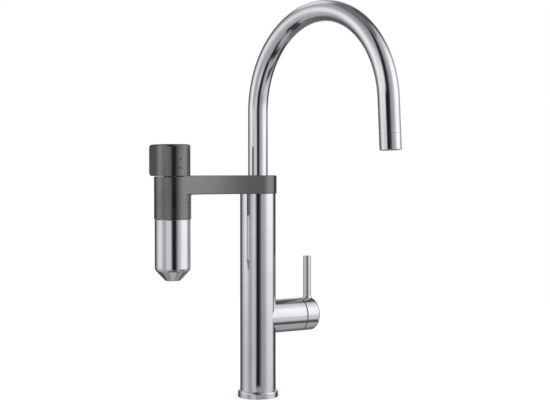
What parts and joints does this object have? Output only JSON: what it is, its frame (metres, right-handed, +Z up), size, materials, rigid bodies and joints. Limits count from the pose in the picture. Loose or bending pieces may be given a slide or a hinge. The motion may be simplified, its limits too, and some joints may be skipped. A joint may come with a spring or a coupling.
{
  "type": "kitchen mixer tap with water filter",
  "caption": "Kitchen mixer tap with a swivelling arched spout, a side pin lever and an arm that carries a water filter capsule under a quarter-turn knob",
  "frame": {"origin": "centre of the base on the worktop, at the mouth of the opening for hoses and stud", "axes": "+Z up, +X towards the mixer handle, -X towards the filter arm, -Y towards the user"},
  "size_m": [0.1993, 0.2362, 0.4284],
  "materials": {
    "chrome": "polished chrome plating",
    "satin_gunmetal": "satin dark grey metallic coating",
    "mark_fill": "dark filled marks",
    "brass": "machined",
    "copper": "drawn copper pipe, bright",
    "steel": "stainless steel, machined",
    "water_hose": "extruded food-grade plastic",
    "rubber": "matt black rubber",
    "ceramic": "lapped",
    "white_plastic": "moulded",
    "grey_plastic": "moulded",
    "blue_plastic": "moulded",
    "carbon": "pressed carbon, porous",
    "membrane": "potted hollow fibres"
  },
  "bodies": {
    "root": {"base_flange": "chrome", "base_seal": "rubber", "inlet_block": "brass", "column_tube": "chrome", "hot_pipe": "copper", "cold_pipe": "copper", "mixer_block": "brass", "mixed_pipe": "copper", "filter_feed_pipe": "water_hose", "filter_return_pipe": "water_hose", "column_head": "brass", "spout_stop_pin": "steel", "glide_washer": "white_plastic", "tube_seal": "rubber", "arm_shell": "satin_gunmetal", "arm_cover": "satin_gunmetal", "arm_cover_screws": "steel", "arm_ring_screws": "steel", "ring_cap": "satin_gunmetal", "cartridge_body": "white_plastic", "cartridge_seals": "rubber", "fixed_disc": "ceramic", "cartridge_nut": "brass", "dome_ring": "grey_plastic", "filter_head": "grey_plastic", "valve_body": "brass", "valve_lip_seal": "rubber", "valve_fixed_disc": "ceramic"},
    "lever_turn": {"cartridge_carrier": "grey_plastic", "pivot_pin": "steel"},
    "mixing_slide": {"moving_disc": "ceramic", "disc_holder": "grey_plastic"},
    "lever_tilt": {"cartridge_spindle": "steel", "handle_cap": "chrome", "lever_pin": "chrome", "handle_screw": "steel", "handle_plug": "chrome"},
    "spout": {"spout_tube": "chrome", "spout_spigot": "brass", "spout_seals": "rubber", "spout_snap_ring": "steel", "filtered_tube": "water_hose", "outlet_sleeve": "chrome", "aerator_washer": "rubber", "aerator": "grey_plastic", "filtered_nozzle": "blue_plastic"},
    "filter_valve": {"filter_knob": "satin_gunmetal", "knob_marks": "mark_fill", "knob_screw": "steel", "knob_plug": "satin_gunmetal", "valve_spindle": "steel", "valve_moving_disc": "ceramic", "valve_clip": "steel"},
    "filter_pack": {"filter_case": "white_plastic", "filter_top_cap": "blue_plastic", "carbon_block": "carbon", "membrane_bundle": "membrane"},
    "capsule": {"capsule_shell": "chrome", "capsule_collar": "steel", "capsule_seal": "rubber"}
  },
  "joints": [
    {"name": "lever_turn", "type": "hinge", "parent": "root", "child": "lever_turn", "pos_m": [0.0395, 0, 0.088], "axis": [1, 0, 0], "range_deg": [-45, 45]},
    {"name": "lever_tilt", "type": "hinge", "parent": "lever_turn", "child": "lever_tilt", "pos_m": [0.0395, 0, 0.088], "axis": [0, 1, 0], "range_deg": [0, 18]},
    {"name": "mixing_slide", "type": "slide", "parent": "lever_turn", "child": "mixing_slide", "axis": [0, 0, 1], "range_m": [0, 0.00312]},
    {"name": "spout_swivel", "type": "hinge", "parent": "root", "child": "spout", "pos_m": [0, 0, 0.3], "axis": [0, 0, 1], "range_deg": [-78, 62]},
    {"name": "filter_knob_turn", "type": "hinge", "parent": "root", "child": "filter_valve", "pos_m": [-0.106, 0, 0.26], "axis": [0, 0, 1], "range_deg": [0, 90]},
    {"name": "capsule_draw", "type": "slide", "parent": "root", "child": "filter_pack", "axis": [0, 0, -1], "range_m": [0, 0.02]},
    {"name": "capsule_turn", "type": "hinge", "parent": "filter_pack", "child": "capsule", "pos_m": [-0.106, 0, 0.17], "axis": [0, 0, 1], "range_deg": [0, 1080]}
  ],
  "couplings": [
    {"joint": "mixing_slide", "follows": "lever_tilt", "m_per_rad": 0.00984}
  ]
}
